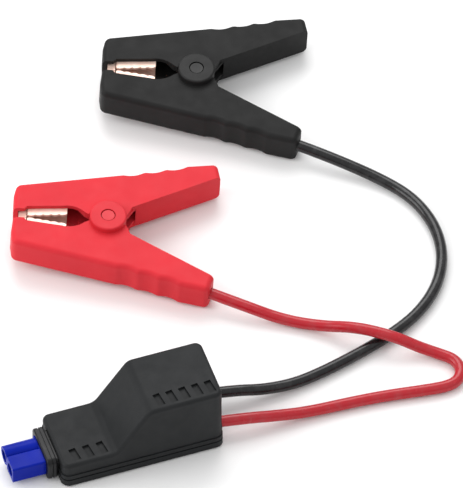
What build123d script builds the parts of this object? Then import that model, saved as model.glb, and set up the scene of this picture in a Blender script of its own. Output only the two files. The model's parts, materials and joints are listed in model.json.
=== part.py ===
"""Smart jumper-clamp lead set of a jump starter: two-bore plug, control module, two leads and two
spring clamps, laid out on a flat surface. Millimetres, +Z up. The origin is the middle of the
module's flat base, with the plug towards -X and the leads leaving towards +X."""
from build123d import *
import math
import os

os.makedirs("parts", exist_ok=True)

# ---------------------------------------------------------------- driving dimensions
# Control module
MODULE_LENGTH = 80.0
MODULE_WIDTH = 35.0
MODULE_HEIGHT = 39.0
STAGE_HEIGHT = 14.5          # low front stage
RAMP_START = 26.0            # from the front face to the foot of the ramp
RAMP_END = 43.0              # from the front face to the top of the ramp
RAMP_FOOT_RADIUS = 5.0
RAMP_CREST_RADIUS = 5.5
CORNER_RADIUS = 3.6          # upright corners
EDGE_RADIUS = 1.8            # round along the top edges
SHELL = 2.2                  # wall of the cover and of the bottom tray
PARTING = 7.6                # height of the line between cover and tray
TRAY_FLARE = 0.5             # the tray stands out this much past the cover
FRONT = -MODULE_LENGTH / 2
REAR = MODULE_LENGTH / 2

# Two-bore plug
PLUG_AXIS_HEIGHT = 7.4
BORE_PITCH = 9.0
BORE_RADIUS = 2.5
TUBE_SIZE = 9.4              # outer size of one tube
TUBE_LENGTH = 16.5           # from the collar to the tips
COLLAR_LENGTH = 5.0
COLLAR_GAP = 1.2             # neck between collar and module
PLUG_BACK = FRONT - COLLAR_GAP - COLLAR_LENGTH
PLUG_TIP = PLUG_BACK - TUBE_LENGTH

# Leads
LEAD_DIAMETER = 5.6
LEAD_RADIUS = LEAD_DIAMETER / 2
LEAD_HEIGHT = 8.0            # where the leads leave the module
LEAD_SIDE = 9.0              # each side of the middle plane

# Clamps, in their own frame: pivot at the origin, jaws towards -x, handles towards +x
CLAMP_THICKNESS = 16.0
CLAMP_WALL = 2.2
EAR_RADIUS = 8.9
EAR_CLEARANCE = 0.5
PIN_RADIUS = 2.5
CAP_HEIGHT = 3.2
HALF = CLAMP_THICKNESS / 2
CAVITY_HALF = HALF - CLAMP_WALL
INNER_EAR_OUT = CAVITY_HALF - 0.3
INNER_EAR_IN = 3.9
CLAMP_TURN = -21.8           # heading of the handles, from +X
CLAMP_LEAN = 3.49            # each clamp rests on its pivot cap and on the tip of its lower handle
LEAN_TURN = CLAMP_TURN - 37.4
PIVOT_HEIGHT = 11.70
RED_PIVOT = (27.2, 118.8)
BLACK_PIVOT = (97.1, 193.3)

# Outline of one clamp half, y away from the other half
NOSE_TOP = (-44.9, 17.6)
NOSE_FRONT = (-46.0, 11.0)
LIP = (-45.5, 2.7)
LIP_BACK = (-40.4, 2.7)
MOUTH_FRONT = (-39.0, 4.3)
MOUTH_BACK = (-21.9, 6.0)
THROAT_TOP = (-16.6, 6.0)
THROAT_END = (-11.2, 3.1)
HEEL = (-6.0, 0.0)
HANDLE_ROOT = (9.0, 3.1)
HANDLE_START = (11.2, 8.1)
GRIP_INNER = (52.6, 30.4)
GRIP_OUTER = (50.5, 38.6)
FIRST_CREST = (6.0, 28.4)
LAST_CREST = (36.0, 36.2)
SCALLOPS = 3
SCALLOP_DEPTH = 1.1
CREST_RADIUS = 4.0
SHELL_ROUND = 2.5            # rounding along the outer rims of a shell

# Where the lead goes into the lower handle, and its heading along that handle
LEAD_ENTRY = (51.5, -34.5)
LEAD_HEADING = -20.0


def clamp_frame(pivot):
    """Plane through the middle of a clamp: origin on the pivot, x towards the handles."""
    turn = math.radians(CLAMP_TURN)
    lean = math.radians(CLAMP_LEAN)
    lean_turn = math.radians(LEAN_TURN)
    normal = (math.sin(lean) * math.cos(lean_turn), math.sin(lean) * math.sin(lean_turn), math.cos(lean))
    heading = (math.cos(turn), math.sin(turn), 0)
    return Plane(origin=(pivot[0], pivot[1], PIVOT_HEIGHT), x_dir=heading, z_dir=normal)


def local_plane(frame, point, x_dir, z_dir):
    """Plane given by a point and two directions in a clamp's own frame."""
    origin = frame.from_local_coords(Vector(point))
    x_tip = frame.from_local_coords(Vector(point) + Vector(x_dir))
    z_tip = frame.from_local_coords(Vector(point) + Vector(z_dir))
    return Plane(origin=origin, x_dir=x_tip - origin, z_dir=z_tip - origin)


def flipped(frame):
    """The same mid-plane with y and z turned over, for the lower half."""
    return Plane(origin=frame.origin, x_dir=frame.x_dir, z_dir=frame.z_dir * -1)


def write(part, label):
    """Label a finished piece and write it."""
    part.label = label
    export_step(part, f"parts/{label}.step")


# ---------------------------------------------------------------- routes of the leads
RED_ROUTE = [
    (41.0, -9.0, 8.0), (54.0, -10.6, 7.4), (68.0, -12.0, 5.2), (84.0, -13.2, 3.2),
    (104.0, -13.8, 2.8), (122.0, -15.2, 2.8), (139.0, -17.8, 2.8), (155.0, -19.6, 2.8),
    (161.6, -13.8, 2.8), (161.4, -5.0, 2.8), (154.4, 1.4, 3.4), (146.2, 7.0, 7.4),
    (136.6, 12.6, 14.0), (121.4, 24.0, 14.0), (107.0, 34.6, 4.6), (91.6, 44.6, 2.8),
]
BLACK_ROUTE = [
    (41.0, 9.0, 8.0), (54.0, 7.6, 7.2), (68.0, 5.4, 4.8), (84.0, 5.6, 3.0),
    (100.0, 8.6, 2.8), (118.0, 13.4, 2.8), (137.0, 19.6, 2.8), (154.0, 28.0, 2.8),
    (168.0, 41.0, 2.8), (177.0, 58.0, 2.8), (179.6, 77.0, 2.8), (175.6, 96.0, 2.8),
    (165.6, 112.0, 2.8),
]
LAST_RUN = 17.0              # straight out of the handle, in line with it


def finished_route(route, frame):
    """Add the two points where a lead comes into its clamp's lower handle."""
    entry = frame.from_local_coords(Vector(LEAD_ENTRY[0], LEAD_ENTRY[1], 0))
    heading = math.radians(LEAD_HEADING)
    ahead = Vector(
        LEAD_ENTRY[0] + LAST_RUN * math.cos(heading), LEAD_ENTRY[1] + LAST_RUN * math.sin(heading), 0
    )
    before = frame.from_local_coords(ahead)
    return [Vector(*point) for point in route] + [before, entry]


def bend_radii(points):
    """Largest even arc at each corner: 0.45 of the shorter run over the tangent of half the turn."""
    radii = []
    for before, corner, after in zip(points, points[1:], points[2:]):
        turn = math.radians((corner - before).get_angle(after - corner))
        shorter = min((corner - before).length, (after - corner).length)
        radii.append(0.45 * shorter / math.tan(turn / 2))
    return radii


def make_lead(points, label):
    """One lead: straight runs joined by tangent arcs, swept by its round section."""
    radii = bend_radii(points)
    with BuildPart() as lead:
        with BuildLine() as path:
            FilletPolyline(*points, radius=radii)
        with BuildSketch(Plane(origin=points[0], z_dir=points[1] - points[0])):
            Circle(LEAD_RADIUS)
        sweep(path=path.wire())
    length = path.wire().length
    area = math.pi * LEAD_RADIUS**2
    print(label, "length", round(length, 1), "volume ratio", round(lead.part.volume / (area * length), 4))
    print("   runs", [round((b - a).length, 1) for a, b in zip(points, points[1:])])
    print("   radii", [round(r, 1) for r in radii])
    write(lead.part, label)


# ---------------------------------------------------------------- control module
def stepped_block(inset, bottom):
    """Module outline, stepped in side view and round-cornered in plan, drawn in by inset."""
    half_length = MODULE_LENGTH / 2 - inset
    stage = STAGE_HEIGHT - inset
    top = MODULE_HEIGHT - inset
    foot_x = FRONT + RAMP_START + 0.45 * inset
    crest_x = FRONT + RAMP_END + 0.45 * inset
    with BuildPart() as block:
        with BuildSketch(Plane.XZ.offset(-MODULE_WIDTH)) as profile:
            with BuildLine():
                Polyline(
                    (-half_length, bottom), (-half_length, stage), (foot_x, stage),
                    (crest_x, top), (half_length, top), (half_length, bottom), close=True,
                )
            make_face()
            fillet(profile.vertices().sort_by_distance((foot_x, stage, 0))[0], RAMP_FOOT_RADIUS + inset)
            fillet(profile.vertices().sort_by_distance((crest_x, top, 0))[0], RAMP_CREST_RADIUS - inset)
        extrude(amount=2 * MODULE_WIDTH)
        with BuildSketch():
            RectangleRounded(2 * half_length, MODULE_WIDTH - 2 * inset, CORNER_RADIUS - 1.3 * inset)
        extrude(amount=2 * MODULE_HEIGHT, mode=Mode.INTERSECT)
    return block.part


POCKET_LONG = 7.4            # eight slanted blind pockets along the right-hand top edges
POCKET_SHORT = 3.4
POCKET_DEPTH = 1.2
POCKET_SLANT = 8.0
POCKET_Y = -11.0
STAGE_POCKETS = [FRONT + 7.6 + 6.8 * i for i in range(3)]
TOP_POCKETS = [FRONT + 49.8 + 6.4 * i for i in range(5)]
FRONT_BOSSES = [(FRONT + 8.2, 12.2), (FRONT + 8.2, -12.2)]
REAR_BOSSES = [(REAR - 6.4, 3.1), (REAR - 6.4, -3.1)]
BOSSES = FRONT_BOSSES + REAR_BOSSES
BOSS_RADIUS = 2.8
BOSS_BOTTOM = PARTING - 3.0
HOLE_PLUG = (21.0, 9.6)
GROMMET_NECK = 3.9
LEAD_PLACES = [(-LEAD_SIDE, LEAD_HEIGHT), (LEAD_SIDE, LEAD_HEIGHT)]

with BuildPart() as top_cover:
    add(stepped_block(0, PARTING))
    crown = top_cover.edges().filter_by(lambda e: e.center().Z > STAGE_HEIGHT - 0.01)
    crown = [e for e in crown if abs(e.tangent_at(0.5).Z) < 0.95]
    outer = [e for e in crown if abs(e.center().Y) > 1 or abs(abs(e.center().X) - REAR) < 0.01]
    fillet(outer, EDGE_RADIUS)
    add(stepped_block(SHELL, 0), mode=Mode.SUBTRACT)
    for places, top in ((FRONT_BOSSES, STAGE_HEIGHT), (REAR_BOSSES, MODULE_HEIGHT)):
        with BuildSketch(Plane.XY.offset(BOSS_BOTTOM)):
            with Locations(*places):
                Circle(BOSS_RADIUS)
        extrude(amount=top - SHELL + 0.5 - BOSS_BOTTOM)
    with BuildSketch(Plane.XY.offset(BOSS_BOTTOM)):
        with Locations(*BOSSES):
            Circle(1.15)
    extrude(amount=7.0, mode=Mode.SUBTRACT)
    for places, top in ((STAGE_POCKETS, STAGE_HEIGHT), (TOP_POCKETS, MODULE_HEIGHT)):
        with BuildSketch(Plane.XY.offset(top - POCKET_DEPTH)):
            with Locations(*[(x, POCKET_Y) for x in places]):
                Rectangle(POCKET_SHORT, POCKET_LONG, rotation=POCKET_SLANT)
        extrude(amount=POCKET_DEPTH + 1, mode=Mode.SUBTRACT)
    # upper parts of the plug's hole and of the two lead holes
    with BuildSketch(Plane.YZ.offset(FRONT - 1)):
        with Locations((0, PLUG_AXIS_HEIGHT)):
            RectangleRounded(*HOLE_PLUG, 2.0)
    extrude(amount=SHELL + 2, mode=Mode.SUBTRACT)
    with BuildSketch(Plane.YZ.offset(REAR - SHELL - 1)):
        with Locations(*LEAD_PLACES):
            Circle(GROMMET_NECK + 0.05)
    extrude(amount=SHELL + 2, mode=Mode.SUBTRACT)
write(top_cover.part, "top_cover")

with BuildPart() as bottom_tray:
    with BuildSketch():
        RectangleRounded(MODULE_LENGTH + 2 * TRAY_FLARE, MODULE_WIDTH + 2 * TRAY_FLARE, CORNER_RADIUS + 0.5)
    extrude(amount=PARTING)
    chamfer(bottom_tray.faces().sort_by(Axis.Z)[0].edges(), 0.8)
    # groove round the tray, half way up its wall
    with BuildSketch(Plane.XY.offset(4.4)):
        RectangleRounded(MODULE_LENGTH + 4, MODULE_WIDTH + 4, CORNER_RADIUS + 2)
        RectangleRounded(MODULE_LENGTH, MODULE_WIDTH, CORNER_RADIUS, mode=Mode.SUBTRACT)
    extrude(amount=0.8, mode=Mode.SUBTRACT)
    with BuildSketch(Plane.XY.offset(SHELL)):
        RectangleRounded(MODULE_LENGTH - 2 * SHELL, MODULE_WIDTH - 2 * SHELL, CORNER_RADIUS - 1.3 * SHELL)
    extrude(amount=PARTING, mode=Mode.SUBTRACT)
    with BuildSketch():
        with Locations(*BOSSES):
            Circle(BOSS_RADIUS)
    extrude(amount=BOSS_BOTTOM)
    with BuildSketch():
        with Locations(*BOSSES):
            Circle(1.4)
    extrude(amount=PARTING, mode=Mode.SUBTRACT)
    with BuildSketch():
        with Locations(*BOSSES):
            Circle(2.3)
    extrude(amount=2.4, mode=Mode.SUBTRACT)
    with BuildSketch(Plane.YZ.offset(FRONT - 2)):
        with Locations((0, PLUG_AXIS_HEIGHT)):
            RectangleRounded(*HOLE_PLUG, 2.0)
    extrude(amount=SHELL + 3, mode=Mode.SUBTRACT)
    with BuildSketch(Plane.YZ.offset(REAR - SHELL - 1)):
        with Locations(*LEAD_PLACES):
            Circle(GROMMET_NECK + 0.05)
    extrude(amount=SHELL + 3, mode=Mode.SUBTRACT)
write(bottom_tray.part, "bottom_tray")

with BuildPart() as cover_screws:
    with BuildSketch(Plane.XY.offset(0.7)):
        with Locations(*BOSSES):
            Circle(2.2)
            RegularPolygon(0.9, 6, mode=Mode.SUBTRACT)
    extrude(amount=1.7)
    with BuildSketch(Plane.XY.offset(1.6)):
        with Locations(*BOSSES):
            Circle(1.1)
    extrude(amount=9.5)
write(cover_screws.part, "cover_screws")

# ---------------------------------------------------------------- plug
with BuildPart() as collar_boot:
    with BuildSketch(Plane.YZ.offset(PLUG_BACK)):
        with Locations((0, PLUG_AXIS_HEIGHT)):
            RectangleRounded(24.4, 13.2, 3.0)
    extrude(amount=COLLAR_LENGTH)
    fillet(collar_boot.faces().sort_by(Axis.X)[0].edges(), 0.9)
    fillet(collar_boot.faces().sort_by(Axis.X)[-1].edges(), 0.9)
    with BuildSketch(Plane.YZ.offset(PLUG_BACK + 2.1)):
        with Locations((0, PLUG_AXIS_HEIGHT)):
            RectangleRounded(30, 20, 3.0)
            RectangleRounded(23.4, 12.2, 2.5, mode=Mode.SUBTRACT)
    extrude(amount=0.8, mode=Mode.SUBTRACT)
    with BuildSketch(Plane.YZ.offset(PLUG_BACK + 3.0)):
        with Locations((0, PLUG_AXIS_HEIGHT)):
            RectangleRounded(20.8, 9.4, 1.9)
    extrude(amount=COLLAR_LENGTH + COLLAR_GAP + SHELL - 2.0)
    with BuildSketch(Plane.YZ.offset(FRONT + SHELL + 0.1)):
        with Locations((0, PLUG_AXIS_HEIGHT)):
            RectangleRounded(24.0, 9.4, 1.9)
    extrude(amount=2.0)
    # pocket for the plug's body, and the way through for its two contacts
    with BuildSketch(Plane.YZ.offset(PLUG_BACK - 1)):
        with Locations((0, PLUG_AXIS_HEIGHT)):
            RectangleRounded(18.8, 8.4, 1.4)
    extrude(amount=30, mode=Mode.SUBTRACT)
write(collar_boot.part, "collar_boot")


CONTACT_RADIUS = 3.1
CONTACT_LENGTH = 15.0
CONTACT_TIP = PLUG_TIP + 1.5

with BuildPart() as plug_housing:
    # one tube is round and the other square-cornered, so the plug goes in only one way round
    with BuildSketch(Plane.YZ.offset(PLUG_TIP)):
        with Locations((BORE_PITCH / 2, PLUG_AXIS_HEIGHT)):
            Circle(TUBE_SIZE / 2)
        with Locations((-BORE_PITCH / 2, PLUG_AXIS_HEIGHT)):
            RectangleRounded(TUBE_SIZE, TUBE_SIZE, 0.9)
    extrude(amount=TUBE_LENGTH - 0.05)
    with BuildSketch(Plane.YZ.offset(PLUG_BACK - 0.5)):
        with Locations((0, PLUG_AXIS_HEIGHT)):
            RectangleRounded(18.3, 8.3, 1.35)
    extrude(amount=7.5)
    with BuildSketch(Plane.YZ.offset(PLUG_TIP - 1)):
        with Locations((BORE_PITCH / 2, PLUG_AXIS_HEIGHT), (-BORE_PITCH / 2, PLUG_AXIS_HEIGHT)):
            Circle(CONTACT_RADIUS + 0.05)
    extrude(amount=40, mode=Mode.SUBTRACT)
write(plug_housing.part, "plug_housing")

for label, side in (("positive_contact", -1), ("negative_contact", 1)):
    with BuildPart() as contact:
        centre = (side * BORE_PITCH / 2, PLUG_AXIS_HEIGHT)
        with BuildSketch(Plane.YZ.offset(CONTACT_TIP)):
            with Locations(centre):
                Circle(CONTACT_RADIUS)
                Circle(BORE_RADIUS, mode=Mode.SUBTRACT)
        extrude(amount=CONTACT_LENGTH)
        with BuildSketch(Plane.YZ.offset(CONTACT_TIP + CONTACT_LENGTH)):
            with Locations(centre):
                Circle(CONTACT_RADIUS)
        extrude(amount=2.0)
        with BuildSketch(Plane.YZ.offset(CONTACT_TIP + CONTACT_LENGTH + 2.0)):
            with Locations(centre):
                Circle(2.6)
                Circle(1.8, mode=Mode.SUBTRACT)
        extrude(amount=6.0)
    write(contact.part, label)

# ---------------------------------------------------------------- inside the module
BOARD_BOTTOM = 3.6
BOARD_TOP = BOARD_BOTTOM + 1.6
BOARD_FRONT = FRONT + 15.0
BOARD_REAR = REAR - 12.5

with BuildPart() as main_board:
    with BuildSketch(Plane.XY.offset(BOARD_BOTTOM)):
        with Locations(((BOARD_FRONT + BOARD_REAR) / 2, 0)):
            Rectangle(BOARD_REAR - BOARD_FRONT, 30.0)
    extrude(amount=BOARD_TOP - BOARD_BOTTOM)
    # stand-offs under the board reach the tray's floor
    with BuildSketch(Plane.XY.offset(SHELL)):
        with Locations(((BOARD_FRONT + BOARD_REAR) / 2, 0)):
            with GridLocations(BOARD_REAR - BOARD_FRONT - 8, 24, 2, 2):
                Circle(1.8)
    extrude(amount=BOARD_BOTTOM - SHELL)
write(main_board.part, "main_board")

with BuildPart() as power_relay:
    with BuildSketch(Plane.XY.offset(BOARD_TOP)):
        with Locations((10.5, 3.5)):
            Rectangle(24.0, 19.0)
    extrude(amount=20.5)
    fillet(power_relay.edges().filter_by(Axis.Z), 0.8)
    chamfer(power_relay.faces().sort_by(Axis.Z)[-1].edges(), 0.5)
write(power_relay.part, "power_relay")

with BuildPart() as buzzer:
    with BuildSketch(Plane.XY.offset(BOARD_TOP)):
        with Locations((12.0, -10.8)):
            Circle(4.2)
    extrude(amount=8.5)
    with BuildSketch(Plane.XY.offset(BOARD_TOP + 7.0)):
        with Locations((12.0, -10.8)):
            Circle(1.0)
    extrude(amount=3, mode=Mode.SUBTRACT)
write(buzzer.part, "buzzer")

with BuildPart() as filter_capacitor:
    with BuildSketch(Plane.XY.offset(BOARD_TOP)):
        with Locations((-6.0, 9.5)):
            Circle(4.0)
    extrude(amount=9.5)
    fillet(filter_capacitor.faces().sort_by(Axis.Z)[-1].edges(), 0.6)
write(filter_capacitor.part, "filter_capacitor")

with BuildPart() as control_chip:
    with BuildSketch(Plane.XY.offset(BOARD_TOP)):
        with Locations((-8.0, 0)):
            Rectangle(5.0, 5.0)
    extrude(amount=1.5)
write(control_chip.part, "control_chip")

INNER_WIRE_RADIUS = 1.75
for label, side in (("positive_inner_wire", -1), ("negative_inner_wire", 1)):
    start = CONTACT_TIP + CONTACT_LENGTH + 3.0
    start_y = side * BORE_PITCH / 2
    points = [
        Vector(start, start_y, PLUG_AXIS_HEIGHT), Vector(FRONT + 9.0, start_y, PLUG_AXIS_HEIGHT),
        Vector(FRONT + 20.0, side * 6.5, BOARD_TOP + INNER_WIRE_RADIUS + 0.1),
        Vector(FRONT + 30.0, side * 6.2, BOARD_TOP + INNER_WIRE_RADIUS + 0.1),
    ]
    with BuildPart() as inner_wire:
        with BuildLine() as path:
            FilletPolyline(*points, radius=bend_radii(points))
        with BuildSketch(Plane(origin=points[0], z_dir=points[1] - points[0])):
            Circle(INNER_WIRE_RADIUS)
        sweep(path=path.wire())
    write(inner_wire.part, label)

for colour, side in (("red", -1), ("black", 1)):
    centre = (side * LEAD_SIDE, LEAD_HEIGHT)
    with BuildPart() as grommet:
        with BuildSketch(Plane.YZ.offset(REAR - SHELL - 1.3)):
            with Locations(centre):
                Circle(4.6)
        extrude(amount=1.25)
        with BuildSketch(Plane.YZ.offset(REAR - SHELL - 0.1)):
            with Locations(centre):
                Circle(GROMMET_NECK)
        extrude(amount=SHELL + 1.1)
        fillet(grommet.faces().sort_by(Axis.X)[-1].edges(), 0.4)
        with BuildSketch(Plane.YZ.offset(REAR - SHELL - 2)):
            with Locations(centre):
                Circle(LEAD_RADIUS + 0.02)
        extrude(amount=SHELL + 4, mode=Mode.SUBTRACT)
    write(grommet.part, f"{colour}_lead_grommet")

    # the lead's inner end, from the terminal lug to just short of the grommet's outer face
    with BuildPart() as inner_end:
        with BuildSketch(Plane.YZ.offset(REAR - 7.0)):
            with Locations(centre):
                Circle(LEAD_RADIUS)
        extrude(amount=7.5)
    write(inner_end.part, f"{colour}_lead_inner_end")

    with BuildPart() as lead_lug:
        with BuildSketch(Plane.YZ.offset(BOARD_REAR + 0.2)):
            with Locations(centre):
                Circle(3.0)
        extrude(amount=REAR - 7.0 - BOARD_REAR - 0.2)
        with BuildSketch(Plane.XY.offset(BOARD_TOP)):
            with Locations((BOARD_REAR - 1.8, side * LEAD_SIDE)):
                Rectangle(5.2, 5.0)
        extrude(amount=1.2)
    write(lead_lug.part, f"{colour}_lead_lug")


# ---------------------------------------------------------------- clamps
def half_outline():
    """Side outline of one clamp half, with the nose and the handle's tip rounded."""
    crests = [
        (
            FIRST_CREST[0] + (LAST_CREST[0] - FIRST_CREST[0]) * i / SCALLOPS,
            FIRST_CREST[1] + (LAST_CREST[1] - FIRST_CREST[1]) * i / SCALLOPS,
        )
        for i in range(SCALLOPS + 1)
    ]
    roundings = [(NOSE_TOP, 3.4), (NOSE_FRONT, 6.0), (GRIP_OUTER, 2.6)]
    roundings += [(crest, CREST_RADIUS) for crest in crests]
    with BuildSketch() as outline:
        with BuildLine():
            Polyline(LAST_CREST, GRIP_OUTER, GRIP_INNER, HANDLE_START, HANDLE_ROOT, HEEL, THROAT_END)
            ThreePointArc(THROAT_END, THROAT_TOP, MOUTH_BACK)
            Polyline(MOUTH_BACK, MOUTH_FRONT, LIP_BACK, LIP, NOSE_FRONT, NOSE_TOP, FIRST_CREST)
            for crest, following in zip(crests, crests[1:]):
                SagittaArc(crest, following, -SCALLOP_DEPTH)
        make_face()
        for corner, radius in roundings:
            fillet(outline.vertices().sort_by_distance(corner)[0], radius)
    return outline.sketch


OUTLINE = half_outline()
OUTER_SLOPE = (GRIP_OUTER[1] - NOSE_TOP[1]) / (GRIP_OUTER[0] - NOSE_TOP[0])
POSTS = (-34.5, -25.5)       # screw posts over each jaw plate
PLATE_Y = 9.5                # inner face of the jaw plate
PLATE = 1.2
POST_RADIUS = 2.8
SCREW_RADIUS = 1.3
HOLLOW_NOSE = -43.3
HOLLOW_TIP = 47.8
OUTER_WALL = 3.0             # from the straight outer edge
GRIP_WALL = 2.4              # wall along the inner side of the handle
HOLLOW_END = 13.0            # the handle's inner side is open up to here


def outer_line(x):
    """Height of the straight outer edge of a half above the clamp's axis."""
    return NOSE_TOP[1] + OUTER_SLOPE * (x - NOSE_TOP[0])


def grip_line(x):
    """Height of the handle's inner edge above the clamp's axis."""
    slope = (GRIP_INNER[1] - HANDLE_START[1]) / (GRIP_INNER[0] - HANDLE_START[0])
    return HANDLE_START[1] + slope * (x - HANDLE_START[0])


def shell_half(mid):
    """Hollow half before its ears: open towards the other half from the jaws to the foot of the handle."""
    with BuildPart() as half:
        with BuildSketch(mid.offset(-HALF)):
            add(OUTLINE)
        extrude(amount=CLAMP_THICKNESS)
        rim = []
        for edge in half.edges():
            place = mid.to_local_coords(edge.center())
            on_face = abs(abs(place.Z) - HALF) < 0.01
            on_rim = (
                place.Y > outer_line(place.X) - 4.5 or place.X < LIP[0] or place.X > GRIP_OUTER[0] + 0.5
            )
            if on_face and on_rim:
                rim.append(edge)
        fillet(rim, SHELL_ROUND)
        with BuildSketch(mid.offset(-CAVITY_HALF)):
            with BuildLine():
                Polyline(
                    (HOLLOW_NOSE, -1.0), (HOLLOW_NOSE, outer_line(HOLLOW_NOSE) - OUTER_WALL),
                    (HOLLOW_TIP, outer_line(HOLLOW_TIP) - OUTER_WALL),
                    (HOLLOW_TIP + 1, grip_line(HOLLOW_TIP + 1) + GRIP_WALL),
                    (HOLLOW_END, grip_line(HOLLOW_END) + GRIP_WALL),
                    (HOLLOW_END, -1.0), close=True,
                )
            make_face()
        extrude(amount=2 * CAVITY_HALF, mode=Mode.SUBTRACT)
        # screw posts from the outer wall down to the jaw plate
        for x in POSTS:
            height = outer_line(x) - 1.5 - (PLATE_Y + PLATE)
            with BuildSketch(local_plane(mid, (x, PLATE_Y + PLATE, 0), (1, 0, 0), (0, 1, 0))):
                Circle(POST_RADIUS)
            extrude(amount=height)
            with BuildSketch(local_plane(mid, (x, PLATE_Y + PLATE - 0.5, 0), (1, 0, 0), (0, 1, 0))):
                Circle(SCREW_RADIUS)
            extrude(amount=6.5, mode=Mode.SUBTRACT)
    return half.part


def make_upper_shell(mid, label):
    """Moving half: its ears run inside the other half's ears."""
    with BuildPart() as upper:
        add(shell_half(mid))
        for start in (INNER_EAR_IN, -CAVITY_HALF):
            with BuildSketch(mid.offset(start)):
                with BuildLine():
                    Polyline((-14.5, 6.6), (-11.2, 3.1), (-6.0, 0.5), (9.0, 3.2), (12.2, 8.8), (17.0, 12.0),
                             (16.0, 24.0), (-14.5, 20.0), close=True)
                make_face()
            extrude(amount=CAVITY_HALF - INNER_EAR_IN)
        for start in (INNER_EAR_IN, -CAVITY_HALF):
            with BuildSketch(mid.offset(start)):
                Circle(EAR_RADIUS - 0.5)
            extrude(amount=CAVITY_HALF - INNER_EAR_IN)
        for start in (INNER_EAR_OUT, -HALF - 1):
            with BuildSketch(mid.offset(start)):
                Circle(EAR_RADIUS + EAR_CLEARANCE)
            extrude(amount=HALF + 1 - INNER_EAR_OUT, mode=Mode.SUBTRACT)
        with BuildSketch(mid.offset(-HALF - 1)):
            Circle(PIN_RADIUS + 0.05)
        extrude(amount=CLAMP_THICKNESS + 2, mode=Mode.SUBTRACT)
    write(upper.part, label)


def make_lower_shell(frame, label):
    """Fixed half: outer ears, and the hole where the lead comes into the handle."""
    mid = flipped(frame)
    heading = math.radians(LEAD_HEADING)
    along = (math.cos(heading), math.sin(heading), 0)
    with BuildPart() as lower:
        add(shell_half(mid))
        for start in (CAVITY_HALF, -HALF):
            with BuildSketch(mid.offset(start)):
                Circle(EAR_RADIUS)
            extrude(amount=HALF - CAVITY_HALF)
        with BuildSketch(mid.offset(-HALF - 1)):
            Circle(PIN_RADIUS + 0.02)
        extrude(amount=CLAMP_THICKNESS + 2, mode=Mode.SUBTRACT)
        back = (LEAD_ENTRY[0] - 15 * along[0], LEAD_ENTRY[1] - 15 * along[1], 0)
        with BuildSketch(local_plane(frame, back, (0, 0, 1), along)):
            Circle(LEAD_RADIUS + 0.1)
        extrude(amount=22, mode=Mode.SUBTRACT)
    write(lower.part, label)


JAW_FRONT = -43.0
JAW_STEP = -39.2             # the narrow tongue ends and the wide channel begins
JAW_REAR = -19.8
TEETH_FRONT = (JAW_STEP + 0.5, 1.0)
TEETH_REAR = (JAW_REAR, 3.2)
TEETH = 5
TOOTH_DEPTH = 0.55
JAW_HALF_WIDTH = 5.5
JAW_BEND = 1.2


def make_jaw(mid, label):
    """Copper jaw: a channel with wavy-toothed walls and a narrow tongue at its front."""
    points = [
        (
            TEETH_FRONT[0] + (TEETH_REAR[0] - TEETH_FRONT[0]) * i / TEETH,
            TEETH_FRONT[1] + (TEETH_REAR[1] - TEETH_FRONT[1]) * i / TEETH,
        )
        for i in range(TEETH + 1)
    ]
    with BuildPart() as jaw:
        with BuildSketch(mid.offset(-JAW_HALF_WIDTH)):
            with BuildLine():
                for crest, following in zip(points, points[1:]):
                    SagittaArc(crest, following, -TOOTH_DEPTH)
                Polyline(
                    points[-1], (JAW_REAR, PLATE_Y + PLATE), (TEETH_FRONT[0], PLATE_Y + PLATE), points[0]
                )
            make_face()
        extrude(amount=2 * JAW_HALF_WIDTH)
        with BuildSketch(mid.offset(-JAW_HALF_WIDTH + JAW_BEND)):
            with BuildLine():
                Polyline(
                    (JAW_STEP, -1), (JAW_REAR + 1, -1), (JAW_REAR + 1, PLATE_Y), (JAW_STEP, PLATE_Y),
                    close=True,
                )
            make_face()
        extrude(amount=2 * (JAW_HALF_WIDTH - JAW_BEND), mode=Mode.SUBTRACT)
        # tongue: a narrower box section that meets the other jaw at the tip
        with BuildSketch(mid.offset(-4.2)):
            with Locations(((JAW_FRONT + JAW_STEP) / 2, (PLATE_Y + PLATE + 0.15) / 2)):
                Rectangle(JAW_STEP - JAW_FRONT, PLATE_Y + PLATE - 0.15)
        extrude(amount=8.4)
        with BuildSketch(mid.offset(-3.0)):
            with Locations(((JAW_FRONT + JAW_STEP) / 2 + JAW_BEND, PLATE_Y / 2 - 1)):
                Rectangle(JAW_STEP - JAW_FRONT, PLATE_Y + 2)
        extrude(amount=6.0, mode=Mode.SUBTRACT)
        bridge = ((JAW_STEP + TEETH_FRONT[0]) / 2, PLATE_Y, 0)
        with BuildSketch(local_plane(mid, bridge, (1, 0, 0), (0, 1, 0))):
            Rectangle(1.6, 8.4)
        extrude(amount=PLATE)
        for x in POSTS:
            with BuildSketch(local_plane(mid, (x, PLATE_Y - 1, 0), (1, 0, 0), (0, 1, 0))):
                Circle(SCREW_RADIUS + 0.15)
            extrude(amount=4, mode=Mode.SUBTRACT)
    write(jaw.part, label)


def make_jaw_screws(mid, label):
    """Two pan-head screws that hold a jaw plate up against its posts."""
    with BuildPart() as screws:
        for x in POSTS:
            with BuildSketch(local_plane(mid, (x, PLATE_Y - 1.65, 0), (1, 0, 0), (0, 1, 0))):
                Circle(2.5)
                RegularPolygon(0.9, 6, mode=Mode.SUBTRACT)
            extrude(amount=1.6)
            with BuildSketch(local_plane(mid, (x, PLATE_Y - 0.6, 0), (1, 0, 0), (0, 1, 0))):
                Circle(SCREW_RADIUS - 0.05)
            extrude(amount=6.6)
    write(screws.part, label)


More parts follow.
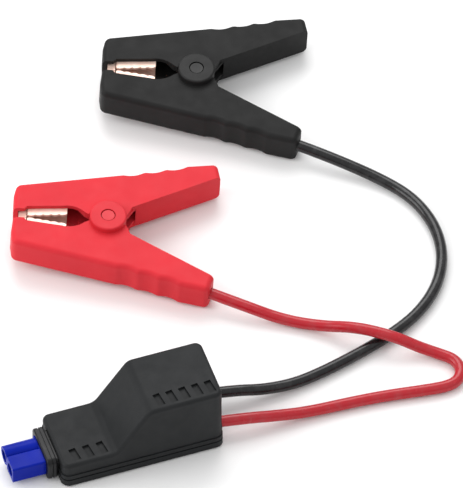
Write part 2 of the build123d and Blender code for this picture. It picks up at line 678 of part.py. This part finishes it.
def make_pivot(frame, colour):
    """Pivot pin with its two caps."""
    with BuildPart() as pin:
        with BuildSketch(frame.offset(-HALF - CAP_HEIGHT + 0.4)):
            Circle(PIN_RADIUS)
        extrude(amount=CLAMP_THICKNESS + 2 * CAP_HEIGHT - 0.8)
        for start in (HALF + CAP_HEIGHT - 1.4, -HALF - CAP_HEIGHT + 0.4):
            with BuildSketch(frame.offset(start)):
                Circle(3.1)
            extrude(amount=1.0)
    write(pin.part, f"{colour}_pivot_pin")

    with BuildPart() as caps:
        for start, outer_start in ((HALF, HALF + CAP_HEIGHT - 1.5), (-HALF - CAP_HEIGHT, -HALF - CAP_HEIGHT)):
            with BuildSketch(frame.offset(start)):
                Circle(EAR_RADIUS)
                Circle(PIN_RADIUS + 0.02, mode=Mode.SUBTRACT)
            extrude(amount=CAP_HEIGHT)
            with BuildSketch(frame.offset(outer_start)):
                Circle(3.6)
            extrude(amount=1.5, mode=Mode.SUBTRACT)
        outer_rims = [
            edge for edge in caps.edges().filter_by(GeomType.CIRCLE)
            if edge.radius > EAR_RADIUS - 0.5 and abs(frame.to_local_coords(edge.center()).Z) > HALF + 1
        ]
        fillet(outer_rims, 0.9)
    write(caps.part, f"{colour}_pivot_caps")


SPRING_WIRE = 0.8            # wire radius
SPRING_RADIUS = 4.9
SPRING_TURNS = 3
LEG_OVERLAP = 0.7            # each leg starts this far inside the coil
SPRING_FOOT = 16.0           # the legs press on the handles this far behind the pivot
SPRING_HALF = 2.8            # coil centres run this far each way along the pin


def make_spring(frame, label):
    """Torsion spring: a coil round the pin and a leg against the outer wall of each handle."""
    base = frame.offset(-SPRING_HALF)
    with BuildPart() as spring:
        with BuildLine(base) as coil:
            Helix(pitch=2 * SPRING_HALF / SPRING_TURNS, height=2 * SPRING_HALF, radius=SPRING_RADIUS)
        with BuildSketch(Plane(origin=coil.edges()[0] @ 0, z_dir=coil.edges()[0] % 0)):
            Circle(SPRING_WIRE)
        sweep(path=coil.edges()[0], is_frenet=True)
        for z, side in ((-SPRING_HALF, -1), (SPRING_HALF, 1)):
            foot = Vector(SPRING_RADIUS, 0, z)
            leg = Vector(SPRING_FOOT, side * (outer_line(SPRING_FOOT) - 5.0), z) - foot
            with BuildSketch(local_plane(frame, foot - leg.normalized() * LEG_OVERLAP, (0, 0, 1), leg)):
                Circle(SPRING_WIRE)
            extrude(amount=leg.length + LEG_OVERLAP)
    write(spring.part, label)


TAIL_BENDS = [(22.0, -20.4), (2.0, -13.6), (-11.0, -12.6)]
TAIL_SHIFT = 2.2             # the tail runs beside the spring's leg


def make_tail(frame, colour):
    """Lead inside the lower handle, from the handle's tip to the crimp on the lower jaw."""
    heading = math.radians(LEAD_HEADING)
    inner = (LEAD_ENTRY[0] - 16 * math.cos(heading), LEAD_ENTRY[1] - 16 * math.sin(heading))
    route = [(*LEAD_ENTRY, 0), (*inner, 0)] + [(x, y, TAIL_SHIFT) for x, y in TAIL_BENDS]
    points = [frame.from_local_coords(Vector(point)) for point in route]
    end_x, end_y, end_z = route[-1]
    with BuildPart() as tail:
        with BuildLine() as path:
            FilletPolyline(*points, radius=bend_radii(points))
        with BuildSketch(Plane(origin=points[0], z_dir=points[1] - points[0])):
            Circle(LEAD_RADIUS)
        sweep(path=path.wire())
    write(tail.part, f"{colour}_lead_tail")

    with BuildPart() as crimp:
        with BuildSketch(local_plane(frame, (end_x - 0.25, end_y, end_z), (0, 0, 1), (-1, 0, 0))):
            Circle(3.2)
        extrude(amount=7.75)
        with BuildSketch(local_plane(frame, (-15.4, -PLATE_Y - PLATE, 0), (1, 0, 0), (0, 1, 0))):
            Rectangle(8.6, 6.0)
        extrude(amount=PLATE)
    write(crimp.part, f"{colour}_crimp_barrel")


for colour, pivot, route in (("red", RED_PIVOT, RED_ROUTE), ("black", BLACK_PIVOT, BLACK_ROUTE)):
    frame = clamp_frame(pivot)
    lower = flipped(frame)
    make_upper_shell(frame, f"{colour}_upper_shell")
    make_lower_shell(frame, f"{colour}_lower_shell")
    make_jaw(frame, f"{colour}_upper_jaw")
    make_jaw(lower, f"{colour}_lower_jaw")
    make_jaw_screws(frame, f"{colour}_upper_jaw_screws")
    make_jaw_screws(lower, f"{colour}_lower_jaw_screws")
    make_pivot(frame, colour)
    make_spring(frame, f"{colour}_torsion_spring")
    make_tail(frame, colour)
    make_lead(finished_route(route, frame), f"{colour}_lead")
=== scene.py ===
"""Looks of the jumper clamp lead set: flexible leads, springs, materials, floor, light and camera.
Metres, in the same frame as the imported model: +Z up, the plug towards -X, the clamps on the +Y side.
The clamp frames, leads and torsion springs are given in millimetres, as in the CAD."""
import json
import math

import bpy
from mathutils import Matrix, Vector


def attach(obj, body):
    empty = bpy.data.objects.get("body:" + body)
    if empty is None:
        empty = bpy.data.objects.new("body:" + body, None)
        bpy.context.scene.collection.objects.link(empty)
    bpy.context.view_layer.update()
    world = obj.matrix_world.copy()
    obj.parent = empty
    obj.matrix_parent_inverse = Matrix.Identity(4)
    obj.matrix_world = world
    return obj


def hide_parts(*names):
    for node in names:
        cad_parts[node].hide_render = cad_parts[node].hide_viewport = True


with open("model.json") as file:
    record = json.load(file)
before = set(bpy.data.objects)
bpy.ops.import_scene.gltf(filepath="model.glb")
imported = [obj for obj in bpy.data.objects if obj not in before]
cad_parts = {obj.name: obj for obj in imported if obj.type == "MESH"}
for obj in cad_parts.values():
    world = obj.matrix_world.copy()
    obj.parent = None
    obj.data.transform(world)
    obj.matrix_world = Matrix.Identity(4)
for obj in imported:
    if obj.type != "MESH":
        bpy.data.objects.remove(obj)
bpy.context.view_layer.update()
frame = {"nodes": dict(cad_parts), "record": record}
ROOT = "lead_set"
MM = 0.001

# ---------------------------------------------------------------- camera
LOOK_HEADING = math.radians(71.2525)     # the way the camera faces, from +X
LOOK_DOWN = math.radians(50)
LOOK_AT = Vector((0.0838, 0.1000, 0.0))
LOOK_DISTANCE = 7.82                     # far off, so that there is almost no perspective
LENS = 1200
SENSOR_WIDTH = 36

facing = Vector((
    math.cos(LOOK_DOWN) * math.cos(LOOK_HEADING),
    math.cos(LOOK_DOWN) * math.sin(LOOK_HEADING),
    -math.sin(LOOK_DOWN),
))
camera_data = bpy.data.cameras.new("camera")
camera_data.lens = LENS
camera_data.sensor_width = SENSOR_WIDTH
camera = bpy.data.objects.new("camera", camera_data)
camera.location = LOOK_AT - facing * LOOK_DISTANCE
camera.rotation_euler = facing.to_track_quat("-Z", "Y").to_euler()
bpy.context.collection.objects.link(camera)
bpy.context.scene.camera = camera

# ---------------------------------------------------------------- clamp frames
PIVOTS = {"red": (27.2, 118.8, 11.70), "black": (97.1, 193.3, 11.70)}
CLAMP_TURN = math.radians(-21.8)         # heading of the handles, from +X
CLAMP_LEAN = math.radians(3.49)          # a clamp rests on its pivot cap and its lower handle's tip
LEAN_TURN = math.radians(-59.2)          # heading that the pin leans towards, from +X
AXIS = Vector((
    math.sin(CLAMP_LEAN) * math.cos(LEAN_TURN),
    math.sin(CLAMP_LEAN) * math.sin(LEAN_TURN),
    math.cos(CLAMP_LEAN),
))
LEVEL_HEADING = Vector((math.cos(CLAMP_TURN), math.sin(CLAMP_TURN), 0))
HEADING = (LEVEL_HEADING - AXIS * LEVEL_HEADING.dot(AXIS)).normalized()
SIDEWAYS = AXIS.cross(HEADING)


def clamp_point(colour, x, y, z):
    """A point in a clamp's own frame, in mm, as a point in the row frame, in metres."""
    return (Vector(PIVOTS[colour]) + HEADING * x + SIDEWAYS * y + AXIS * z) * MM


def round_curve(name, kind, points, thickness, sides):
    """A curve object with a round section and one spline of the given kind along the points."""
    curve = bpy.data.curves.new(name, "CURVE")
    curve.dimensions = "3D"
    curve.resolution_u = 16
    curve.bevel_resolution = sides
    curve.bevel_depth = thickness / 2 * MM
    spline = curve.splines.new(kind)
    spline.points.add(len(points) - 1)
    for place, point in zip(spline.points, points):
        place.co = (*point, 1.0)
    owner = bpy.data.objects.new(name, curve)
    bpy.context.collection.objects.link(owner)
    return owner


# ---------------------------------------------------------------- leads
LEAD_DIAMETER = 5.6
RED_ROUTE = [
    (41.0, -9.0, 8.0), (54.0, -10.6, 7.4), (68.0, -12.0, 5.2), (84.0, -13.2, 3.2),
    (104.0, -13.8, 2.8), (122.0, -15.2, 2.8), (139.0, -17.8, 2.8), (155.0, -19.6, 2.8),
    (161.6, -13.8, 2.8), (161.4, -5.0, 2.8), (154.4, 1.4, 3.0), (146.2, 7.0, 4.8),
    (136.6, 12.6, 9.6), (121.4, 24.0, 9.6), (107.0, 34.6, 3.8), (91.6, 44.6, 2.8),
]
BLACK_ROUTE = [
    (41.0, 9.0, 8.0), (54.0, 7.6, 7.2), (68.0, 5.4, 4.8), (84.0, 5.6, 3.0),
    (100.0, 8.6, 2.8), (118.0, 13.4, 2.8), (137.0, 19.6, 2.8), (154.0, 28.0, 2.8),
    (168.0, 41.0, 2.8), (177.0, 58.0, 2.8), (179.6, 77.0, 2.8), (175.6, 96.0, 2.8),
    (165.6, 112.0, 2.8),
]
LEAD_ENTRY = (51.5, -34.5)               # in the clamp's frame, at the lower handle's tip
LEAD_HEADING = math.radians(-20.0)
LAST_RUN = 17.0                          # straight out of the handle, in line with it


def make_lead(colour, route, material):
    """One flexible lead on a smooth line, from the module's grommet into the clamp's lower handle."""
    ahead_x = LEAD_ENTRY[0] + LAST_RUN * math.cos(LEAD_HEADING)
    ahead_y = LEAD_ENTRY[1] + LAST_RUN * math.sin(LEAD_HEADING)
    points = [Vector(point) * MM for point in route]
    points += [clamp_point(colour, ahead_x, ahead_y, 0), clamp_point(colour, *LEAD_ENTRY, 0)]
    lead = round_curve(f"{colour}_flexible_lead", "NURBS", points, LEAD_DIAMETER, sides=8)
    spline = lead.data.splines[0]
    spline.order_u = 3
    spline.use_endpoint_u = True
    lead.data.materials.append(material)
    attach(lead, ROOT)
    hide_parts(f"{colour}_lead")


# ---------------------------------------------------------------- materials
class Look:
    """A procedural material: a Principled shader with its colour, roughness and bump from noise."""

    def __init__(self, name, metallic=0.0):
        self.material = bpy.data.materials.new(name)
        self.material.use_nodes = True
        self.nodes = self.material.node_tree.nodes
        self.links = self.material.node_tree.links
        self.shader = self.nodes["Principled BSDF"]
        self.shader.inputs["Metallic"].default_value = metallic
        self.place = self.nodes.new("ShaderNodeTexCoord").outputs["Object"]
        self.height = None

    def noise(self, size, detail=3.0, stretch=(1, 1, 1)):
        """Noise with grains about size metres across."""
        mapping = self.nodes.new("ShaderNodeMapping")
        mapping.inputs["Scale"].default_value = stretch
        texture = self.nodes.new("ShaderNodeTexNoise")
        texture.inputs["Scale"].default_value = 1 / size
        texture.inputs["Detail"].default_value = detail
        self.links.new(self.place, mapping.inputs["Vector"])
        self.links.new(mapping.outputs["Vector"], texture.inputs["Vector"])
        return texture.outputs["Fac"]

    def cells(self, size):
        """Distance pattern of small cells, as on a spark-eroded mould."""
        texture = self.nodes.new("ShaderNodeTexVoronoi")
        texture.inputs["Scale"].default_value = 1 / size
        self.links.new(self.place, texture.inputs["Vector"])
        return texture.outputs["Distance"]

    def spread(self, value, low, high, start=0.3, end=0.7):
        """Map a pattern's middle range onto low to high."""
        node = self.nodes.new("ShaderNodeMapRange")
        node.inputs["From Min"].default_value = start
        node.inputs["From Max"].default_value = end
        node.inputs["To Min"].default_value = low
        node.inputs["To Max"].default_value = high
        self.links.new(value, node.inputs["Value"])
        return node.outputs["Result"]

    def colour(self, pattern, first, second):
        """Colour runs from first to second with the pattern."""
        node = self.nodes.new("ShaderNodeMix")
        node.data_type = "RGBA"
        node.inputs["A"].default_value = (*first, 1)
        node.inputs["B"].default_value = (*second, 1)
        self.links.new(pattern, node.inputs["Factor"])
        self.links.new(node.outputs["Result"], self.shader.inputs["Base Color"])

    def rough(self, pattern):
        """Roughness follows the pattern."""
        self.links.new(pattern, self.shader.inputs["Roughness"])

    def bump(self, pattern, depth, strength=0.6):
        """Add relief of the given depth in metres."""
        node = self.nodes.new("ShaderNodeBump")
        node.inputs["Distance"].default_value = depth
        node.inputs["Strength"].default_value = strength
        self.links.new(pattern, node.inputs["Height"])
        if self.height:
            self.links.new(self.height, node.inputs["Normal"])
        self.height = node.outputs["Normal"]
        self.links.new(self.height, self.shader.inputs["Normal"])


def scaled(colour, factor):
    """A lighter or darker colour, with no channel above 1."""
    return tuple(min(1.0, channel * factor) for channel in colour)


# Widths of grains and patches, and depths of relief, in metres
FLOW_MARK = 0.018
POLISHED_PATCH = 0.006
MOTTLE = 0.0011
MOULD_GRAIN = 0.0004
MOULD_DEPTH = 0.00003
DUST_PATCH = 0.004
SHEEN_PATCH = 0.003
JACKET_WAVE = 0.009
JACKET_WAVE_DEPTH = 0.00012
JACKET_GRAIN = 0.0007
FINE_DEPTH = 0.00001
TARNISH_PATCH = 0.005
SCRATCH = 0.0006
TRACK_DEPTH = 0.00003
TRACK_SCALE = 260                        # makes the rows between the tracks about 1 mm high
TRACK_WIDTH = 0.06                       # in the scaled unit of that pattern


def moulded(name, colour, roughness, grain=MOULD_GRAIN, depth=MOULD_DEPTH, contrast=0.12, specular=0.5):
    """Moulded plastic: fine spark-eroded grain, faint flow marks and slightly polished patches."""
    look = Look(name)
    look.shader.inputs["Specular IOR Level"].default_value = specular
    flow = look.spread(look.noise(FLOW_MARK, detail=4), 0, 1)
    look.colour(flow, scaled(colour, 1 - contrast), scaled(colour, 1 + contrast))
    patches = look.noise(POLISHED_PATCH, detail=5)
    look.rough(look.spread(patches, roughness - 0.06, roughness + 0.06))
    look.bump(look.cells(grain), depth)
    look.bump(look.noise(MOTTLE, detail=5), depth * 1.5, strength=0.35)
    return look.material


def silicone(name, colour, roughness):
    """Glossy silicone jacket: smooth, with a faint waviness and traces of dust."""
    look = Look(name)
    look.shader.inputs["Specular IOR Level"].default_value = 0.3
    look.shader.inputs["Coat Weight"].default_value = 0.15
    look.shader.inputs["Coat Roughness"].default_value = 0.12
    dust = look.spread(look.noise(DUST_PATCH, detail=6), 0, 1, start=0.45, end=0.75)
    look.colour(dust, colour, tuple(channel * 0.9 + 0.02 for channel in colour))
    sheen = look.noise(SHEEN_PATCH, detail=6)
    look.rough(look.spread(sheen, roughness - 0.06, roughness + 0.08))
    look.bump(look.noise(JACKET_WAVE, detail=2), JACKET_WAVE_DEPTH, strength=0.35)
    look.bump(look.noise(JACKET_GRAIN, detail=4), FINE_DEPTH, strength=0.5)
    return look.material


def metal(name, colour, roughness, stretch=(1, 1, 1), tint=None, depth=FINE_DEPTH, metallic=1.0):
    """Bare or plated metal with scratches, and with patches of the tint or of a darker colour."""
    look = Look(name, metallic)
    patches = look.spread(look.noise(TARNISH_PATCH, detail=5), 0, 1)
    look.colour(patches, colour, tint or scaled(colour, 0.82))
    scratches = look.noise(SCRATCH, 6, stretch)
    look.rough(look.spread(scratches, roughness - 0.1, roughness + 0.12))
    look.bump(scratches, depth, strength=0.5)
    return look.material


def circuit_board(name):
    """Solder mask over a grid of copper tracks."""
    look = Look(name)
    brick = look.nodes.new("ShaderNodeTexBrick")
    brick.inputs["Scale"].default_value = TRACK_SCALE
    brick.inputs["Mortar Size"].default_value = TRACK_WIDTH
    brick.inputs["Color1"].default_value = (0.010, 0.095, 0.035, 1)
    brick.inputs["Color2"].default_value = (0.014, 0.120, 0.045, 1)
    brick.inputs["Mortar"].default_value = (0.030, 0.200, 0.070, 1)
    look.links.new(look.place, brick.inputs["Vector"])
    look.links.new(brick.outputs["Color"], look.shader.inputs["Base Color"])
    look.rough(look.spread(look.noise(SHEEN_PATCH, detail=4), 0.28, 0.42))
    look.bump(brick.outputs["Fac"], TRACK_DEPTH, strength=0.5)
    return look.material


PIN_GRAIN = 0.0009
RED_CONTRAST = 0.04                      # fainter flow marks, as they show more on red than on black

LOOKS = {
    "cover_black": moulded("cover_black_look", (0.018, 0.019, 0.020), 0.50, specular=0.13),
    "tray_black": moulded("tray_black_look", (0.013, 0.014, 0.015), 0.50, specular=0.15),
    "collar_black": moulded(
        "collar_black_look", (0.007, 0.007, 0.008), 0.36, grain=0.0006, specular=0.25,
    ),
    "grommet_black": moulded("grommet_black_look", (0.012, 0.012, 0.012), 0.58, specular=0.35),
    "plug_blue": moulded(
        "plug_blue_look", (0.001, 0.012, 0.300), 0.36, grain=0.0007, depth=FINE_DEPTH, specular=0.09,
    ),
    "relay_case": moulded("relay_case_look", (0.020, 0.020, 0.024), 0.38),
    "buzzer_black": moulded("buzzer_black_look", (0.022, 0.022, 0.022), 0.45),
    "chip_black": moulded("chip_black_look", (0.014, 0.014, 0.015), 0.60, grain=0.0002),
    "clamp_red": moulded(
        "clamp_red_look", (0.660, 0.028, 0.040), 0.50, contrast=RED_CONTRAST, specular=0.15,
    ),
    "clamp_black": moulded("clamp_black_look", (0.014, 0.014, 0.014), 0.54, specular=0.14),
    "cap_red": moulded(
        "cap_red_look", (0.640, 0.026, 0.038), 0.44, contrast=RED_CONTRAST, specular=0.18,
    ),
    "cap_black": moulded("cap_black_look", (0.014, 0.014, 0.014), 0.44, specular=0.18),
    "pin_red": moulded(
        "pin_red_look", (0.640, 0.030, 0.042), 0.40, PIN_GRAIN, contrast=RED_CONTRAST, specular=0.25,
    ),
    "pin_black": moulded(
        "pin_black_look", (0.016, 0.016, 0.016), 0.40, PIN_GRAIN, specular=0.25,
    ),
    "lead_red": silicone("lead_red_look", (0.450, 0.010, 0.020), 0.22),
    "lead_black": silicone("lead_black_look", (0.006, 0.006, 0.007), 0.20),
    "contact_brass": metal("contact_brass_look", (0.78, 0.62, 0.30), 0.30),
    "steel": metal("steel_look", (0.52, 0.52, 0.53), 0.38),
    "spring_steel": metal("spring_steel_look", (0.42, 0.42, 0.43), 0.34),
    "capacitor_can": metal("capacitor_can_look", (0.60, 0.60, 0.62), 0.36),
    "tinned_copper": metal("tinned_copper_look", (0.62, 0.58, 0.53), 0.34),
    "jaw_copper": metal(
        "jaw_copper_look", (1.00, 0.78, 0.68), 0.42, stretch=(1, 1, 6), tint=(1.00, 0.68, 0.56),
        depth=0.00002, metallic=0.25,
    ),
    "board_green": circuit_board("board_green_look"),
}

SLOT_OF = {row["node"]: row["material_slot"] for row in frame["record"]["subparts"]}
for node, piece in frame["nodes"].items():
    for place in piece.material_slots:
        place.material = LOOKS[SLOT_OF[node]]

make_lead("red", RED_ROUTE, LOOKS["lead_red"])
make_lead("black", BLACK_ROUTE, LOOKS["lead_black"])

# ---------------------------------------------------------------- torsion springs
SPRING_RADIUS = 4.9
SPRING_WIRE = 1.6                        # thickness of the wire
SPRING_HALF = 2.8                        # along the pin, each way from the middle
SPRING_START = math.radians(23)          # where the lower leg runs off at a tangent
SPRING_END = 3 * math.tau - SPRING_START
SPRING_MIDDLE = (SPRING_START + SPRING_END) / 2
SPRING_OVERLAP = math.radians(3)         # of each half past the middle
LEG_LENGTH = 29.5
COIL_STEP = math.radians(10)


def coil_points(colour, first, last):
    """Points along the coil between two angles."""
    count = round((last - first) / COIL_STEP)
    points = []
    for i in range(count + 1):
        angle = first + (last - first) * i / count
        height = SPRING_HALF * (2 * (angle - SPRING_START) / (SPRING_END - SPRING_START) - 1)
        x, y = SPRING_RADIUS * math.cos(angle), SPRING_RADIUS * math.sin(angle)
        points.append(clamp_point(colour, x, y, height))
    return points


def make_spring_half(colour, side, body):
    """Half the coil with its leg: side -1 stays with the lower handle, side 1 turns with the upper."""
    if side < 0:
        points = coil_points(colour, SPRING_START, SPRING_MIDDLE + SPRING_OVERLAP)
    else:
        points = coil_points(colour, SPRING_MIDDLE - SPRING_OVERLAP, SPRING_END)[::-1]
    foot_x, foot_y = SPRING_RADIUS * math.cos(SPRING_START), SPRING_RADIUS * math.sin(SPRING_START)
    tip_x = foot_x + LEG_LENGTH * math.sin(SPRING_START)
    tip_y = foot_y - LEG_LENGTH * math.cos(SPRING_START)
    points.insert(0, clamp_point(colour, tip_x, -side * tip_y, side * SPRING_HALF))
    name = f"{colour}_spring_{'lower' if side < 0 else 'upper'}"
    wire = round_curve(name, "POLY", points, SPRING_WIRE, sides=4)
    wire.data.use_fill_caps = True
    bpy.context.view_layer.update()
    mesh = bpy.data.meshes.new_from_object(wire)
    bpy.data.objects.remove(wire)
    mesh.materials.clear()
    mesh.materials.append(LOOKS["spring_steel"])
    spring = bpy.data.objects.new(name, mesh)
    bpy.context.collection.objects.link(spring)
    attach(spring, body)
    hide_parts(f"{colour}_torsion_spring")


for colour in PIVOTS:
    make_spring_half(colour, -1, ROOT)
    make_spring_half(colour, 1, f"{colour}_jaw")

# ---------------------------------------------------------------- floor
FLOOR_HALF = 4.0
FLOOR_DROP = 0.0002                      # keeps the floor clear of the faces that rest on it
FLOOR_PATCH = 0.2
FLOOR_CORNERS = [(-1, -1), (1, -1), (1, 1), (-1, 1)]
floor_points = [(x * FLOOR_HALF, y * FLOOR_HALF, 0) for x, y in FLOOR_CORNERS]
floor_mesh = bpy.data.meshes.new("floor")
floor_mesh.from_pydata(floor_points, [], [(0, 1, 2, 3)])
floor = bpy.data.objects.new("floor", floor_mesh)
floor.location.z = -FLOOR_DROP
bpy.context.collection.objects.link(floor)
floor_look = Look("floor_look")
floor_pattern = floor_look.spread(floor_look.noise(FLOOR_PATCH, detail=2), 0, 1)
floor_look.colour(floor_pattern, (0.93, 0.93, 0.93), (0.95, 0.95, 0.95))
floor_look.shader.inputs["Roughness"].default_value = 0.8
floor_look.shader.inputs["Specular IOR Level"].default_value = 0.1
floor_mesh.materials.append(floor_look.material)


# ---------------------------------------------------------------- light
def softbox(name, place, aim, size, power):
    """Square area light at place, turned towards aim."""
    data = bpy.data.lights.new(name, "AREA")
    data.shape = "SQUARE"
    data.size = size
    data.energy = power
    light = bpy.data.objects.new(name, data)
    light.location = place
    light.rotation_euler = (Vector(aim) - Vector(place)).to_track_quat("-Z", "Y").to_euler()
    bpy.context.collection.objects.link(light)


MIDDLE = (0.06, 0.09, 0.0)
softbox("key", place=(0.30, 1.05, 1.20), aim=MIDDLE, size=1.0, power=11)
softbox("fill", place=(-1.2, 0.35, 0.75), aim=MIDDLE, size=0.9, power=9)

HORIZON_LEVEL = 0.45
HIGH_LEVEL = 0.95
HIGH_FROM = 0.7                          # sine of the elevation where the sky reaches its high level
world = bpy.data.worlds.new("studio")
bpy.context.scene.world = world
world.use_nodes = True
background = world.node_tree.nodes["Background"]
background.inputs["Color"].default_value = (1, 1, 1, 1)
sky_place = world.node_tree.nodes.new("ShaderNodeTexCoord")
sky_parts = world.node_tree.nodes.new("ShaderNodeSeparateXYZ")
sky_level = world.node_tree.nodes.new("ShaderNodeMapRange")
sky_level.inputs["From Min"].default_value = 0.0
sky_level.inputs["From Max"].default_value = HIGH_FROM
sky_level.inputs["To Min"].default_value = HORIZON_LEVEL
sky_level.inputs["To Max"].default_value = HIGH_LEVEL
world.node_tree.links.new(sky_place.outputs["Generated"], sky_parts.inputs["Vector"])
world.node_tree.links.new(sky_parts.outputs["Z"], sky_level.inputs["Value"])
world.node_tree.links.new(sky_level.outputs["Result"], background.inputs["Strength"])
bpy.context.scene.view_settings.view_transform = "Standard"
